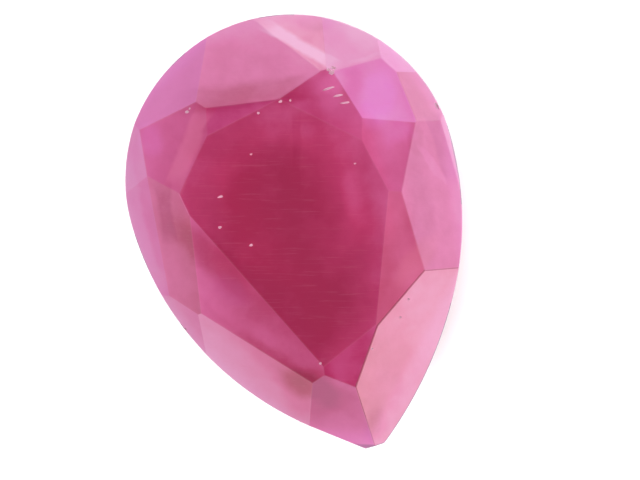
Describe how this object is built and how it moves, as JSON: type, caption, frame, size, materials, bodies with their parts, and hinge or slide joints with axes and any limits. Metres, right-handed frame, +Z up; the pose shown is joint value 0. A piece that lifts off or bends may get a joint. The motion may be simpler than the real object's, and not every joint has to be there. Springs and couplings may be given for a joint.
{
  "type": "pear-cut ruby gemstone",
  "caption": "Loose pear-shaped faceted ruby, milky pinkish red, with a large table, uneven native-cut crown facets and a deep stepped back, lying on a shallow back facet.",
  "frame": {"origin": "On the surface that the stone lies on, under the middle of its box.", "axes": "+Y runs along the stone from its tip to its round head, +Z is up, and the table faces up and 17 degrees towards +X."},
  "size_m": [0.01, 0.0136, 0.0064],
  "materials": {
    "ruby_crystal": "Polished, slightly milky ruby: deep red where it is thick, pinker and faintly violet towards the rim, with worn facet edges, fine polishing lines and small pits."
  },
  "bodies": {
    "root": {"ruby": "ruby_crystal"}
  },
  "joints": []
}
